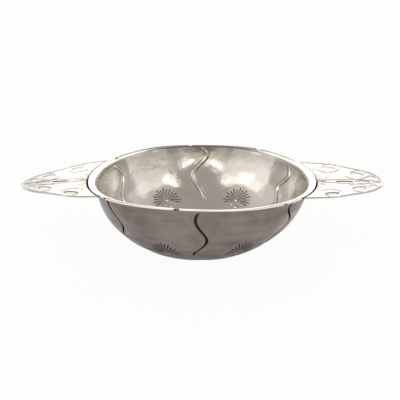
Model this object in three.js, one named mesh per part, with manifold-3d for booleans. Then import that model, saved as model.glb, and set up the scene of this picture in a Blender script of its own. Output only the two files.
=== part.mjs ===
// Two-handled oval silver bowl: a raised lobed body, a rim band soldered round its edge, broad at
// the ends, and two cast pierced ear handles whose roots butt against the band.
// Millimetres, +Z up. The bowl stands on z = 0, its length lies along X, the origin is under its centre.
import * as THREE from "three";
import { mergeVertices } from "three/addons/utils/BufferGeometryUtils.js";
import Module from "manifold-3d";

// Bowl body, measured on the outside of the sheet
const BOWL_HALF_LENGTH = 72;
const BOWL_HALF_WIDTH = 60.5;
const BOWL_HEIGHT = 50.2;
const BASE_HALF_LENGTH = 26;
const BASE_HALF_WIDTH = 21.8;
const SHEET = 1;
const END_DIP = 4.1; // the rim hangs lower at the two ends than at the middle of the sides
const PLAN_SQUARENESS = 2.1; // 2 would be a plain ellipse
const WALL_TURN = 1.45; // how full the wall stands before it turns in to the base
const WALL_FLARE = 0.1; // share of the wall's spread that runs straight, so that it leans out at the rim
const BODY_LEAN = 1.6; // the base sits this far to the left of the middle of the rim

// Lobes and the chased wavy ribs between them
const LOBES = 6;
const FIRST_RIB = Math.PI / 6;
const LOBE_BULGE = 0.8;
const RIB_WIDTH = 2.4;
const RIB_HEIGHT = 1;
const RIB_SWAY = 4.2;
const RIB_WAVE = 0.42; // length of one full wave, as a share of the way down the wall
const RIB_END = 0.56; // where the rib has died away, as a share of the way down the wall

// Rim band
const RIM_END_OVERHANG = 3.6; // how far the band stands out beyond the wall at the two ends
const RIM_SIDE_OVERHANG = 0.6;
const RIM_BROAD_FROM = 0.75; // where the band reaches its full breadth, as the cosine of the plan angle
const RIM_THICKNESS = 0.9;
const RIM_RISE = 0.6; // the broad ends slope this much up to their outer edge
const RIM_ROUND = 0.25;

// Handles: one casting used twice
const HANDLE_REACH = 44.8; // from the outer edge of the rim band to the tip
const HANDLE_HALF_WIDTH = 34.6;
const HANDLE_THICKNESS = 1;
const HANDLE_EDGE = 0.3;
const HANDLE_STEP = 0.15; // the handle lies this much below the top of the band
const HANDLE_WAIST = 2.3; // depth of the hollow in each side edge
const HANDLE_WAIST_AT = 23; // distance of that hollow from the rim band
const HANDLE_WAIST_SPREAD = 10;
const HANDLE_TWIST = 0.08; // the casting is warped by this slope across its tip
const HANDLE_BORDER = 1.3; // distance of the raised border from the edge
const RELIEF = 0.6; // radius of the raised scrolls and stems
const RELIEF_RISE = 0.35; // how far they stand above the flat of the handle
const SLOT_LENGTH = 11;
const SLOT_WIDTH = 1.8;
const MIDDLE_EYE_LENGTH = 9.2;
const MIDDLE_EYE_WIDTH = 3.6;
const ROOT_EYE_LENGTH = 8.4;
const ROOT_EYE_WIDTH = 3.4;
const TIP_EYE_LENGTH = 8.8;
const TIP_EYE_WIDTH = 5.2;
const TEAR_LENGTH = 5.4;
const TEAR_WIDTH = 3.8;
const SCROLL_WIDE = 8; // the scrolls wind in from this radius
const SCROLL_NARROW = 5.8;
const STEM_SPREAD = 3.2; // how far the twin stems part to pass the slot and the middle eye
const LEFT_TILT = 0.088; // fall of the left handle for each millimetre it stands out
const RIGHT_TILT = 0.007;

// Solder in the corner under the band at each handle root
const SOLDER_DOWN = 0.04; // how far it runs down the wall, as a share of the wall
const SOLDER_LEG = 1; // its height against the root of the handle
const SOLDER_STOP = 3.5; // it stops this far short of the handle's corners

const SEAT_GAP = 0.3; // clearance where one piece is seated on another
const HALF_LAP = 0.05; // the two halves of a handle run this far across the middle line, where they join

const RIM_HALF_LENGTH = BOWL_HALF_LENGTH + RIM_END_OVERHANG;

const silver = new THREE.MeshStandardMaterial({ color: 0xcfc9c0, metalness: 1, roughness: 0.28 });
const wornSilver = new THREE.MeshStandardMaterial({ color: 0x9c948b, metalness: 1, roughness: 0.36 });
const solder = new THREE.MeshStandardMaterial({ color: 0xa8a49c, metalness: 1, roughness: 0.45 });

const wasm = await Module();
wasm.setup();

// Plan of the bowl: distance from the middle to a squared oval in the direction theta
function planRadius(theta, halfLength, halfWidth) {
  const alongX = Math.abs(Math.cos(theta) / halfLength) ** PLAN_SQUARENESS;
  const alongY = Math.abs(Math.sin(theta) / halfWidth) ** PLAN_SQUARENESS;
  return (alongX + alongY) ** (-1 / PLAN_SQUARENESS);
}

// Height of the wall's top edge in the direction theta
function edgeHeight(theta) {
  const reach = planRadius(theta, BOWL_HALF_LENGTH, BOWL_HALF_WIDTH) * Math.cos(theta);
  return BOWL_HEIGHT - END_DIP * (reach / BOWL_HALF_LENGTH) ** 2;
}

// Outside of the smooth wall; down runs from 0 at the rim to 1 at the flat base
function wallPoint(theta, down, bulge = 0) {
  const drop = Math.sin((down * Math.PI) / 2);
  const turn = Math.cos((down * Math.PI) / 2) ** WALL_TURN;
  const spread = (1 - WALL_FLARE) * turn + WALL_FLARE * (1 - drop);
  const halfLength = BASE_HALF_LENGTH + (BOWL_HALF_LENGTH - BASE_HALF_LENGTH) * spread;
  const halfWidth = BASE_HALF_WIDTH + (BOWL_HALF_WIDTH - BASE_HALF_WIDTH) * spread;
  const radius = planRadius(theta, halfLength, halfWidth) + bulge;
  const height = BOWL_HEIGHT * (1 - drop) - (BOWL_HEIGHT - edgeHeight(theta)) * (1 - drop) ** 2;
  return new THREE.Vector3(radius * Math.cos(theta) - BODY_LEAN * drop, radius * Math.sin(theta), height);
}

function wallNormal(theta, down) {
  if (down >= 1) return new THREE.Vector3(0, 0, -1);
  const step = 0.002;
  const across = wallPoint(theta + step, down).sub(wallPoint(theta - step, down));
  const below = wallPoint(theta, Math.min(down + step, 1));
  const along = below.sub(wallPoint(theta, Math.max(down - step, 0)));
  return along.cross(across).normalize();
}

// Sideways sway of a rib, in millimetres, at a place on the wall
function ribSway(down) {
  const fade = 1 - THREE.MathUtils.smoothstep(down, RIB_END, 1);
  return -RIB_SWAY * Math.sin((2 * Math.PI * down) / RIB_WAVE) * fade;
}

// Sheet surface at a share of a lobe, pushed in along the ribs; depth is measured into the sheet
function sheetPoint(lobe, share, down, depth) {
  const straight = FIRST_RIB + ((lobe + share) * 2 * Math.PI) / LOBES;
  const radius = wallPoint(straight, down).setZ(0).length();
  const theta = straight + (ribSway(down) * (2 * share - 1) ** 2) / radius;
  const bulge = LOBE_BULGE * (1 - (2 * share - 1) ** 2) * Math.sin(Math.PI * down);
  const lobeArc = (2 * Math.PI * BOWL_HALF_WIDTH) / LOBES;
  const fromRib = Math.min(share, 1 - share) * lobeArc;
  const rise = THREE.MathUtils.smoothstep(down, 0, 0.05);
  const dieAway = 1 - THREE.MathUtils.smoothstep(down, 0.75 * RIB_END, RIB_END);
  const push = RIB_HEIGHT * Math.max(0, 1 - fromRib / (RIB_WIDTH / 2)) * rise * dieAway;
  const point = wallPoint(theta, down, bulge).addScaledVector(wallNormal(theta, down), -(push + depth));
  return down > 0 ? point : point.setZ(edgeHeight(theta)); // the edge of the sheet is filed level
}

function meshGeometry(points, triangles) {
  const geometry = new THREE.BufferGeometry().setFromPoints(points);
  geometry.setIndex(triangles);
  geometry.computeVertexNormals();
  return geometry;
}

// The raised body: outside and inside of one sheet, closed at the rim edge
function bowlBody() {
  const edge = (RIB_WIDTH / 2 / (2 * Math.PI * BOWL_HALF_WIDTH)) * LOBES;
  const shares = [0, edge, 0.13, 0.31, 0.5, 0.69, 0.87, 1 - edge];
  const ribRings = 14;
  const lowerRings = 6;
  const downs = [];
  for (let i = 0; i <= ribRings; i++) downs.push((RIB_END * i) / ribRings);
  for (let i = 1; i <= lowerRings; i++) downs.push(RIB_END + ((1 - RIB_END) * i) / lowerRings);

  const points = [];
  const triangles = [];
  const columns = LOBES * shares.length;
  const side = (depth) => {
    const first = points.length;
    for (const down of downs) {
      for (let lobe = 0; lobe < LOBES; lobe++) {
        for (const share of shares) points.push(sheetPoint(lobe, share, down, depth));
      }
    }
    points.push(new THREE.Vector3(-BODY_LEAN, 0, depth));
    return first;
  };
  const outside = side(0);
  const inside = side(SHEET);
  const centre = downs.length * columns;

  for (let column = 0; column < columns; column++) {
    const next = (column + 1) % columns;
    for (let ring = 0; ring + 1 < downs.length; ring++) {
      const a = ring * columns + column;
      const b = ring * columns + next;
      const c = b + columns;
      const d = a + columns;
      triangles.push(outside + a, outside + d, outside + c, outside + a, outside + c, outside + b);
      triangles.push(inside + a, inside + c, inside + d, inside + a, inside + b, inside + c);
    }
    const last = (downs.length - 1) * columns;
    triangles.push(outside + centre, outside + last + next, outside + last + column);
    triangles.push(inside + centre, inside + last + column, inside + last + next);
    triangles.push(outside + column, outside + next, inside + next);
    triangles.push(outside + column, inside + next, inside + column);
  }
  return meshGeometry(points, triangles);
}

// A bar whose cross-sections follow one another; a closed bar joins its last section to its first
function bar(sections, closed) {
  const size = sections[0].length;
  const points = sections.flat();
  const triangles = [];
  const count = closed ? sections.length : sections.length - 1;
  for (let i = 0; i < count; i++) {
    const here = i * size;
    const there = ((i + 1) % sections.length) * size;
    for (let k = 0; k < size; k++) {
      const next = (k + 1) % size;
      triangles.push(here + k, there + next, here + next, here + k, there + k, there + next);
    }
  }
  if (!closed) {
    const end = (sections.length - 1) * size;
    for (let k = 1; k + 1 < size; k++) {
      triangles.push(0, k, k + 1, end, end + k + 1, end + k);
    }
  }
  return meshGeometry(points, triangles);
}

function polar(theta, radius, height) {
  return new THREE.Vector3(radius * Math.cos(theta), radius * Math.sin(theta), height);
}

// Share of the band's full breadth in the direction theta: 1 at the ends, 0 at the middle of the sides
function breadth(theta) {
  return THREE.MathUtils.smoothstep(Math.abs(Math.cos(theta)), 0, RIM_BROAD_FROM);
}

// Outer edge of the band
function rimOuter(theta) {
  const overhang = RIM_SIDE_OVERHANG + (RIM_END_OVERHANG - RIM_SIDE_OVERHANG) * breadth(theta);
  return planRadius(theta, BOWL_HALF_LENGTH, BOWL_HALF_WIDTH) + overhang;
}

// Underside of the band at its outer edge
function rimOuterUnder(theta) {
  return edgeHeight(theta) + SEAT_GAP + RIM_RISE * breadth(theta);
}

// The rim band lies on the edge of the wall and stands out beyond it
function rimBand() {
  const steps = 72;
  const sections = [];
  for (let i = 0; i < steps; i++) {
    const theta = (2 * Math.PI * i) / steps;
    const inner = planRadius(theta, BOWL_HALF_LENGTH - SHEET, BOWL_HALF_WIDTH - SHEET);
    const outer = rimOuter(theta);
    const under = edgeHeight(theta) + SEAT_GAP;
    const outerUnder = rimOuterUnder(theta);
    sections.push([
      polar(theta, inner, under),
      polar(theta, outer - RIM_ROUND, outerUnder),
      polar(theta, outer, outerUnder + RIM_ROUND),
      polar(theta, outer, outerUnder + RIM_THICKNESS - RIM_ROUND),
      polar(theta, outer - RIM_ROUND, outerUnder + RIM_THICKNESS),
      polar(theta, inner, under + RIM_THICKNESS),
    ]);
  }
  return bar(sections, true);
}

// Top of a handle beside the band, in the direction theta
function rootTop(theta) {
  return rimOuterUnder(theta) + RIM_THICKNESS - HANDLE_STEP;
}
const HANDLE_TOP = rootTop(0);
const TIP = RIM_HALF_LENGTH + HANDLE_REACH;

// Seat of a handle root: the outline of the band with the seat clearance added
function rootPoint(theta) {
  const radius = rimOuter(theta) + SEAT_GAP;
  return new THREE.Vector2(radius * Math.cos(theta), radius * Math.sin(theta));
}

// Direction in which the root is a given distance from the middle line
function rootAngle(halfWidth) {
  let low = 0;
  let high = Math.PI / 2;
  for (let i = 0; i < 40; i++) {
    const middle = (low + high) / 2;
    if (rootPoint(middle).y < halfWidth) low = middle;
    else high = middle;
  }
  return low;
}
const SHOULDER_ANGLE = rootAngle(HANDLE_HALF_WIDTH);

// Half-width of the handle at a place along X, less an inset
const SHOULDER = rootPoint(SHOULDER_ANGLE).x;
function handleHalfWidth(x, inset = 0) {
  const along = THREE.MathUtils.clamp((x - SHOULDER) / (TIP - inset - SHOULDER), 0, 1);
  const leaf = (HANDLE_HALF_WIDTH - inset) * (1 - along ** 1.8) ** (1 / 1.75);
  const fromWaist = (x - RIM_HALF_LENGTH - HANDLE_WAIST_AT) / HANDLE_WAIST_SPREAD;
  return leaf - HANDLE_WAIST * Math.exp(-(fromWaist ** 2));
}

// Points of one long edge from the shoulder to the tip, closer together near the tip
function handleEdge(steps, inset, from) {
  const points = [];
  for (let i = 0; i <= steps; i++) {
    const share = Math.sin((i * Math.PI) / 2 / steps);
    const x = from + (TIP - inset - from) * share;
    points.push(new THREE.Vector2(x, i === steps ? 0 : handleHalfWidth(x, inset)));
  }
  return points;
}

function solidOf(geometry) {
  const bare = geometry.clone().deleteAttribute("normal").deleteAttribute("uv");
  const merged = mergeVertices(bare, 1e-4);
  const vertProperties = new Float32Array(merged.attributes.position.array);
  const triVerts = new Uint32Array(merged.index.array);
  return new wasm.Manifold(new wasm.Mesh({ numProp: 3, vertProperties, triVerts }));
}

function geometryOf(solid) {
  const mesh = solid.getMesh();
  const geometry = new THREE.BufferGeometry();
  geometry.setAttribute("position", new THREE.Float32BufferAttribute(mesh.vertProperties, 3));
  geometry.setIndex(new THREE.Uint32BufferAttribute(mesh.triVerts, 1));
  return geometry;
}

// A place on the handle, as shares of its reach and of its half-width
function onHandle(out, off) {
  return new THREE.Vector2(RIM_HALF_LENGTH + HANDLE_REACH * out, HANDLE_HALF_WIDTH * off);
}

// An oval piercing round a place on the handle; flip puts its twin on the near side
function piercing(place, length, width, turn, flip = 1) {
  const steps = 14;
  const points = [];
  for (let i = 0; i < steps; i++) {
    const angle = (2 * Math.PI * (i + 0.5)) / steps;
    const point = new THREE.Vector2((Math.cos(angle) * length) / 2, (Math.sin(angle) * width) / 2);
    point.rotateAround(new THREE.Vector2(), turn);
    point.add(place);
    points.push(new THREE.Vector2(point.x, flip * point.y));
  }
  return new THREE.Path(points);
}

const ROOT_EYE = onHandle(0.21, 0.67);
const TIP_EYE = onHandle(0.62, 0.335);

// The flat of the handle with its piercings
function handlePlate() {
  const rootSteps = 15;
  const far = handleEdge(24, 0, SHOULDER);
  const near = far.map((point) => new THREE.Vector2(point.x, -point.y));
  const outline = [...near, ...far.slice(0, -1).reverse()];
  for (let i = 1; i < rootSteps; i++) outline.push(rootPoint(SHOULDER_ANGLE * (1 - (2 * i) / rootSteps)));
  const shape = new THREE.Shape(outline);
  shape.holes.push(piercing(onHandle(0.42, 0), SLOT_LENGTH, SLOT_WIDTH, 0));
  shape.holes.push(piercing(onHandle(0.68, 0), MIDDLE_EYE_LENGTH, MIDDLE_EYE_WIDTH, 0));
  for (const flip of [1, -1]) {
    shape.holes.push(piercing(ROOT_EYE, ROOT_EYE_LENGTH, ROOT_EYE_WIDTH, -0.35, flip));
    shape.holes.push(piercing(TIP_EYE, TIP_EYE_LENGTH, TIP_EYE_WIDTH, -0.45, flip));
    shape.holes.push(piercing(onHandle(0.83, 0.2), TEAR_LENGTH, TEAR_WIDTH, -0.75, flip));
  }
  const plate = new THREE.ExtrudeGeometry(shape, {
    depth: HANDLE_THICKNESS - 2 * HANDLE_EDGE,
    bevelThickness: HANDLE_EDGE,
    bevelSize: HANDLE_EDGE,
    bevelOffset: -HANDLE_EDGE,
    bevelSegments: 1,
  });
  return plate.translate(0, 0, HANDLE_TOP - HANDLE_THICKNESS + HANDLE_EDGE);
}

// A raised round moulding along a line on the top of the handle
function moulding(line, steps, radius) {
  const section = new THREE.Shape();
  section.absarc(0, 0, radius, 0, 2 * Math.PI);
  const axis = HANDLE_TOP + RELIEF_RISE - radius;
  const points = line.map((point) => new THREE.Vector3(point.x, point.y, axis));
  const extrudePath = new THREE.CatmullRomCurve3(points);
  return new THREE.ExtrudeGeometry(section, { steps, extrudePath, curveSegments: 3 });
}

// A scroll that winds in round an eye
function scrollLine(eye, wide, narrow, start, turn, flip) {
  const points = [];
  const steps = 12;
  for (let i = 0; i <= steps; i++) {
    const share = i / steps;
    const radius = wide + (narrow - wide) * share;
    const angle = start + turn * share;
    const x = eye.x + radius * Math.cos(angle);
    points.push(new THREE.Vector2(x, flip * (eye.y + radius * Math.sin(angle))));
  }
  return points;
}

// A stem that leaves the rim beside the middle line, passes the slot and the middle eye and meets its twin
function stemLine(flip) {
  const points = [];
  const steps = 8;
  for (let i = 0; i <= steps; i++) {
    const share = i / steps;
    const x = RIM_HALF_LENGTH + 2.2 * RELIEF + (HANDLE_REACH - 6 * RELIEF) * share;
    points.push(new THREE.Vector2(x, flip * (0.8 * RELIEF + STEM_SPREAD * Math.sin(Math.PI * share))));
  }
  return points;
}

// Sets a handle to the band: it falls by the tilt towards its tip, and its two halves rise from the
// middle line so that the shoulders lie level with the band
function setToBand(solid, tilt) {
  const fall = tilt * (RIM_HALF_LENGTH - SHOULDER);
  const lift = (rootTop(SHOULDER_ANGLE) - HANDLE_TOP - fall) / HANDLE_HALF_WIDTH;
  const half = (side) => {
    const lean = new THREE.Matrix4().set(
      1, 0, 0, 0,
      0, 1, 0, 0,
      -tilt, side * lift, 1, tilt * RIM_HALF_LENGTH,
      0, 0, 0, 1,
    );
    return solid.trimByPlane([0, side, 0], -HALF_LAP).transform(lean.elements);
  };
  return half(1).add(half(-1));
}

// The warp of the casting, none at the band and most at the tip
function twisted(geometry) {
  const position = geometry.attributes.position;
  for (let i = 0; i < position.count; i++) {
    const out = Math.max(0, position.getX(i) - RIM_HALF_LENGTH) / HANDLE_REACH;
    position.setZ(i, position.getZ(i) + HANDLE_TWIST * out * position.getY(i));
  }
  return geometry;
}

// One casting: pierced plate with its raised border, scrolls and stems
function handle(tilt) {
  const edge = handleEdge(9, HANDLE_BORDER, SHOULDER + 2 * RELIEF);
  const back = edge.slice(0, -1).reverse();
  const border = [...edge, ...back.map((point) => new THREE.Vector2(point.x, -point.y))];
  let solid = solidOf(handlePlate()).add(solidOf(moulding(border, 36, RELIEF)));
  for (const flip of [1, -1]) {
    const rootScroll = scrollLine(ROOT_EYE, SCROLL_WIDE, SCROLL_NARROW, -2.6, 5.4, flip);
    const tipScroll = scrollLine(TIP_EYE, SCROLL_WIDE, SCROLL_NARROW, -2.9, 5.2, flip);
    solid = solid.add(solidOf(moulding(rootScroll, 16, RELIEF)));
    solid = solid.add(solidOf(moulding(tipScroll, 16, RELIEF)));
    solid = solid.add(solidOf(moulding(stemLine(flip), 12, RELIEF)));
  }
  return twisted(geometryOf(setToBand(solid, tilt)));
}

// A run of solder under the band, between the wall and the root of a handle
function solderFillet(middle) {
  const steps = 20;
  const sections = [];
  const end = rootAngle(HANDLE_HALF_WIDTH - SOLDER_STOP);
  for (let i = 0; i <= steps; i++) {
    const theta = middle + end * ((2 * i) / steps - 1);
    const clear = polar(theta, SEAT_GAP, 0);
    const outerTop = rimOuterUnder(theta) - SEAT_GAP;
    sections.push([
      wallPoint(theta, 0).add(clear),
      wallPoint(theta, SOLDER_DOWN).add(clear),
      polar(theta, rimOuter(theta), outerTop - SOLDER_LEG),
      polar(theta, rimOuter(theta), outerTop),
    ]);
  }
  return bar(sections, false);
}

const bowl = new THREE.Group();
function place(name, geometry, material, turn = 0) {
  const mesh = new THREE.Mesh(geometry.rotateZ(turn), material);
  mesh.name = name;
  bowl.add(mesh);
}

place("bowl_body", bowlBody(), wornSilver);
place("rim_band", rimBand(), silver);
place("handle_right", handle(RIGHT_TILT), silver);
place("handle_left", handle(LEFT_TILT), silver, Math.PI);
place("solder_fillet_right", solderFillet(0), solder);
place("solder_fillet_left", solderFillet(Math.PI), solder);

export default bowl;
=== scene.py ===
import math

import bpy
import numpy as np
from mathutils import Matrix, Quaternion, Vector


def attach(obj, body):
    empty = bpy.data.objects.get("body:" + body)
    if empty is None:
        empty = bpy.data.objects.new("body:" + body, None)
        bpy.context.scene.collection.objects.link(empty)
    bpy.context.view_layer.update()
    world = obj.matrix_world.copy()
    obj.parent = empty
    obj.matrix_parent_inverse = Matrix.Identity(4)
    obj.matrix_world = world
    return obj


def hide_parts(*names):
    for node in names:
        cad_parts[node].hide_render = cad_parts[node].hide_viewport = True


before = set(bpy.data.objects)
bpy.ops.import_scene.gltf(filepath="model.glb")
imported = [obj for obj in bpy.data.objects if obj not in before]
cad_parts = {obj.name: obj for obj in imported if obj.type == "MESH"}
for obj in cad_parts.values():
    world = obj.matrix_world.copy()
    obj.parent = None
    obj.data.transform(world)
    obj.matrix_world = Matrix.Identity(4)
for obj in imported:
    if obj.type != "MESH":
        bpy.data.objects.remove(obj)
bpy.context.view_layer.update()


# The bowl: one sheet of silver raised by hammer into an oval with six shallow lobes.
# Six wavy ribs and a fan of strokes in each lobe are chased in from the outside, so they
# stand as grooves without and ridges within. The flattened underside is its base.
LOBES = 6
FIRST_RIB = math.radians(31.4)
COLUMNS_IN_LOBE = 60
COLUMN_CROWDING = 0.6
RINGS = 133
RING_CROWDING = 0.35
LIP_CROWDING = 1.25
WALL_PART = 0.9
WALL_LENGTH = 0.081
SHEET = 0.001
RIB_FLAT = 0.15
RIB_TAPER = 0.25
RIB_STARTS_BY = 0.05
RIB_FADES_FROM = 0.94
FAR_FROM_RIB = 6.0
FAN_HOLLOW = (0.002, 0.0155)
FAN_FADES = (0.5, 0.75)
HAMMER_SCALE = 58.0
ABOVE_BASE = (0.0003, 0.004)
SAG_AT = math.radians(-75)
SAG_SPREAD = math.radians(40)
SEAM_GAP = 0.000002
bowl_sizes = {
    "Half Length": 0.072,
    "Half Width": 0.0605,
    "Height": 0.0505,
    "Base Half Length": 0.0248,
    "Base Half Width": 0.021,
    "End Dip": 0.0041,
    "Near Sag": 0.0013,
    "Squareness": 2.1,
    "Wall Turn": 1.3,
    "Wall Flare": 0.06,
    "Body Lean": 0.0019,
    "Lip Flare": 0.0024,
    "Lip Down": 0.055,
    "Broad From": 0.75,
    "Lobe Bulge": 0.0009,
    "Rib Width": 0.0016,
    "Rib Height": 0.0008,
    "Rib Sway": 0.0042,
    "Rib End": 0.56,
    "Fan Sink": 0.001,
    "Bead Height": 0.0006,
    "Hammer Depth": 0.0003,
}
# Each rib is given one by one: where its wave starts, half waves down the wall and how these slow,
# its share of the sway, its lean to one side and its share of the length
RIBS_BY_HAND = [
    (-0.145, 6.45, 0.0, 0.79, -0.0022, 1.0),
    (0.0, 7.0, 4.4, 1.2, 0.0009, 0.87),
    (-0.23, 4.9, 0.0, 1.07, 0.0, 1.0),
    (0.15, 5.2, 0.0, 1.0, 0.0, 1.0),
    (0.1, 4.3, 0.0, 1.0, 0.0, 1.07),
    (0.1, 5.5, 0.0, 1.0, 0.001, 1.0),
]
# So is each fan: how far its eye is from the middle of its lobe, how far down the wall,
# its share of the depth, of the width and of the height
FANS_BY_HAND = [
    (-0.0014, 0.47, 0.8, 1.0, 1.0),
    (-0.0007, 0.476, 0.8, 1.0, 1.0),
    (0.0, 0.48, 1.2, 1.0, 1.1),
    (0.0012, 0.545, 0.3, 0.95, 1.4),
    (0.0032, 0.545, 0.3, 0.95, 1.4),
    (0.0, 0.48, 1.2, 1.0, 1.1),
]


class Field:
    """A number that the nodes work out at each point of a surface."""

    def __init__(self, tree, socket):
        self.tree = tree
        self.socket = socket

    def fill(self, node, values):
        for entry, value in zip(node.inputs, values):
            if isinstance(value, Field):
                self.tree.links.new(value.socket, entry)
            else:
                entry.default_value = value
        return Field(self.tree, node.outputs[0])

    def do(self, operation, *others):
        node = self.tree.nodes.new("ShaderNodeMath")
        node.operation = operation
        return self.fill(node, (self, *others))

    def ease(self, low, high):
        """0 below low, 1 above high, smooth between them."""
        node = self.tree.nodes.new("ShaderNodeMapRange")
        node.interpolation_type = "SMOOTHSTEP"
        return self.fill(node, (self, low, high))

    def between(self, low, high, first=0.0, last=1.0):
        """first below low, last above high, even between them."""
        node = self.tree.nodes.new("ShaderNodeMapRange")
        return self.fill(node, (self, low, high, first, last))

    def __add__(self, other):
        return self.do("ADD", other)

    def __sub__(self, other):
        return self.do("SUBTRACT", other)

    def __rsub__(self, other):
        return self.do("MULTIPLY", -1.0).do("ADD", other)

    def __mul__(self, other):
        return self.do("MULTIPLY", other)

    def __truediv__(self, other):
        return self.do("DIVIDE", other)

    def __pow__(self, other):
        return self.do("POWER", other)

    def sin(self):
        return self.do("SINE")

    def cos(self):
        return self.do("COSINE")

    def size(self):
        return self.do("ABSOLUTE")

    def at_least(self, other):
        return self.do("MAXIMUM", other)

    def at_most(self, other):
        return self.do("MINIMUM", other)


def new_recipe(name, sizes):
    """A geometry tree with one named input for each size, and its material input."""
    tree = bpy.data.node_groups.new(name, "GeometryNodeTree")
    tree.interface.new_socket("Geometry", in_out="OUTPUT", socket_type="NodeSocketGeometry")
    keys = {}
    for size, value in sizes.items():
        socket = tree.interface.new_socket(size, in_out="INPUT", socket_type="NodeSocketFloat")
        socket.default_value = value
        keys[size] = socket.identifier
    finish = tree.interface.new_socket("Finish", in_out="INPUT", socket_type="NodeSocketMaterial")
    keys["Finish"] = finish.identifier
    source = tree.nodes.new("NodeGroupInput")
    dials = {size: Field(tree, source.outputs[size]) for size in sizes}
    return tree, keys, dials, source.outputs["Finish"]


def end_recipe(tree, geometry, finish):
    """Every tree ends the same way: real faces, smooth shading, one material."""
    realize = tree.nodes.new("GeometryNodeRealizeInstances")
    smooth = tree.nodes.new("GeometryNodeSetShadeSmooth")
    paint = tree.nodes.new("GeometryNodeSetMaterial")
    result = tree.nodes.new("NodeGroupOutput")
    tree.links.new(geometry, realize.inputs["Geometry"])
    tree.links.new(realize.outputs["Geometry"], smooth.inputs["Geometry"])
    tree.links.new(smooth.outputs["Geometry"], paint.inputs["Geometry"])
    tree.links.new(finish, paint.inputs["Material"])
    tree.links.new(paint.outputs["Geometry"], result.inputs["Geometry"])


def make_piece(name, tree, keys, sizes, finish, thickness=None):
    """Runs a recipe once and keeps its result as a plain mesh."""
    start = bpy.data.objects.new(name + "_start", bpy.data.meshes.new(name + "_start"))
    bpy.context.collection.objects.link(start)
    recipe = start.modifiers.new("recipe", "NODES")
    recipe.node_group = tree
    for size, value in sizes.items():
        recipe[keys[size]] = value
    recipe[keys["Finish"]] = finish
    if thickness:
        wall = start.modifiers.new("wall", "SOLIDIFY")
        wall.thickness = thickness
        wall.offset = -1.0
    ready = start.evaluated_get(bpy.context.evaluated_depsgraph_get())
    mesh = bpy.data.meshes.new_from_object(ready)
    bpy.data.objects.remove(start)
    mesh.materials.clear()
    mesh.materials.append(finish)
    mesh.polygons.foreach_set("material_index", np.zeros(len(mesh.polygons), dtype=np.int32))
    piece = bpy.data.objects.new(name, mesh)
    bpy.context.collection.objects.link(piece)
    return piece


def parted(tree, place):
    """A place as three numbers."""
    node = tree.nodes.new("ShaderNodeSeparateXYZ")
    tree.links.new(place, node.inputs[0])
    return [Field(tree, node.outputs[axis]) for axis in "XYZ"]


def unit_grid(tree, columns, rings):
    """A flat sheet of columns by rings faces, with its two places running from 0 to 1."""
    grid = tree.nodes.new("GeometryNodeMeshGrid")
    grid.inputs["Size X"].default_value = 1.0
    grid.inputs["Size Y"].default_value = 1.0
    grid.inputs["Vertices X"].default_value = columns + 1
    grid.inputs["Vertices Y"].default_value = rings + 1
    x, y, _ = parted(tree, tree.nodes.new("GeometryNodeInputPosition").outputs[0])
    return grid.outputs["Mesh"], x + 0.5, 0.5 - y


def point_at(tree, x, y, z):
    """Three numbers as one place."""
    node = tree.nodes.new("ShaderNodeCombineXYZ")
    for axis, value in zip("XYZ", (x, y, z)):
        tree.links.new(value.socket, node.inputs[axis])
    return node.outputs[0]


def store(tree, geometry, name, value, kind="FLOAT"):
    """Keeps a number or a place on the mesh for its material to read."""
    node = tree.nodes.new("GeometryNodeStoreNamedAttribute")
    node.data_type = kind
    node.domain = "POINT"
    node.inputs["Name"].default_value = name
    tree.links.new(geometry, node.inputs["Geometry"])
    tree.links.new(value, node.inputs["Value"])
    return node.outputs["Geometry"]


def bend_to(tree, geometry, place):
    """Moves the sheet to its places and closes its seam."""
    bend = tree.nodes.new("GeometryNodeSetPosition")
    tree.links.new(geometry, bend.inputs["Geometry"])
    tree.links.new(place, bend.inputs["Position"])
    close = tree.nodes.new("GeometryNodeMergeByDistance")
    close.inputs["Distance"].default_value = SEAM_GAP
    tree.links.new(bend.outputs["Geometry"], close.inputs["Geometry"])
    return close.outputs["Geometry"]


def plan_radius(dial, angle, long_half, short_half):
    """Squared oval of the bowl's plan."""
    along = (angle.cos() / long_half).size() ** dial["Squareness"]
    across = (angle.sin() / short_half).size() ** dial["Squareness"]
    return (along + across) ** (dial["Squareness"] ** -1.0 * -1.0)


def near_sag(dial, angle):
    """How far the lip has sunk along the near side, in use."""
    turned = angle - SAG_AT
    off = turned.sin().do("ARCTAN2", turned.cos()) / SAG_SPREAD
    return (off * off * -1.0).do("EXPONENT") * dial["Near Sag"]


def pick(number, values):
    """The value that belongs to a whole number."""
    chosen = None
    for k, value in enumerate(values):
        term = number.do("COMPARE", float(k), 0.1) * value
        chosen = chosen + term if chosen else term
    return chosen


def kept(tree, name):
    """A number kept on the mesh."""
    node = tree.nodes.new("ShaderNodeAttribute")
    node.attribute_name = name
    return Field(tree, node.outputs["Fac"])


def kept_place(tree, name):
    """A place kept on the mesh, as three numbers."""
    node = tree.nodes.new("ShaderNodeAttribute")
    node.attribute_name = name
    return parted(tree, node.outputs["Vector"])


def on_piece(tree):
    """The place on the piece itself."""
    return tree.nodes.new("ShaderNodeTexCoord").outputs["Object"]


def stretched(tree, place, scale, turn=(0.0, 0.0, 0.0)):
    """The same place with its axes turned and stretched."""
    node = tree.nodes.new("ShaderNodeMapping")
    node.inputs["Rotation"].default_value = turn
    node.inputs["Scale"].default_value = scale
    tree.links.new(place, node.inputs["Vector"])
    return node.outputs["Vector"]


def patches(tree, place, scale, detail=2.0, roughness=0.5):
    """Soft random patches."""
    node = tree.nodes.new("ShaderNodeTexNoise")
    node.inputs["Scale"].default_value = scale
    node.inputs["Detail"].default_value = detail
    node.inputs["Roughness"].default_value = roughness
    tree.links.new(place, node.inputs["Vector"])
    return Field(tree, node.outputs["Fac"])


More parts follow.
